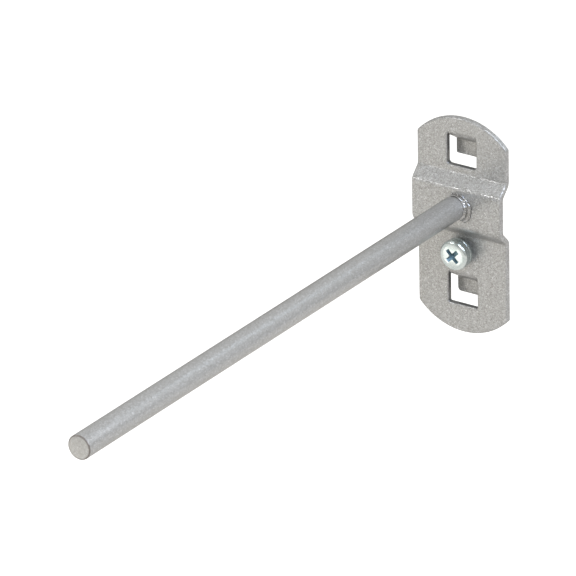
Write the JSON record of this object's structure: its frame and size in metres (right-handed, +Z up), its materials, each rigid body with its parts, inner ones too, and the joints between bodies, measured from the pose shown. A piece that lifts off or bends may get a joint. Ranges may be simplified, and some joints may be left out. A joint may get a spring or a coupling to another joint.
{
  "type": "tool holder",
  "caption": "Straight peg holder for a square-hole tool panel: pressed hook plate with a welded round bar and a locking screw.",
  "frame": {"origin": "middle of the plate's height and width, on the front surface of the panel that the plate hangs on, which is the back surface of the plate's flats", "axes": "+X to the right as the user sees it, +Y into the panel, +Z up; the peg stands out along -Y"},
  "size_m": [0.0264, 0.1705, 0.0586],
  "materials": {
    "silver_coat": "satin silver metallic powder coat",
    "zinc_plating": "bright blue-white zinc plating"
  },
  "bodies": {
    "holder": {"back_plate": "silver_coat", "peg_rod": "silver_coat", "weld_bead": "silver_coat"},
    "washer": {"screw_washer": "zinc_plating"},
    "screw": {"locking_screw": "zinc_plating"}
  },
  "joints": [
    {"name": "washer_slide", "type": "slide", "parent": "holder", "child": "washer", "axis": [0, 1, 0], "range_m": [-0.0014, 0.0014]},
    {"name": "screw_turn", "type": "hinge", "parent": "washer", "child": "screw", "pos_m": [0, 0, -0.00665], "axis": [0, 1, 0], "range_deg": [-720, 720]}
  ],
  "couplings": [
    {"joint": "screw_turn", "follows": "washer_slide", "rad_per_m": 8976}
  ]
}
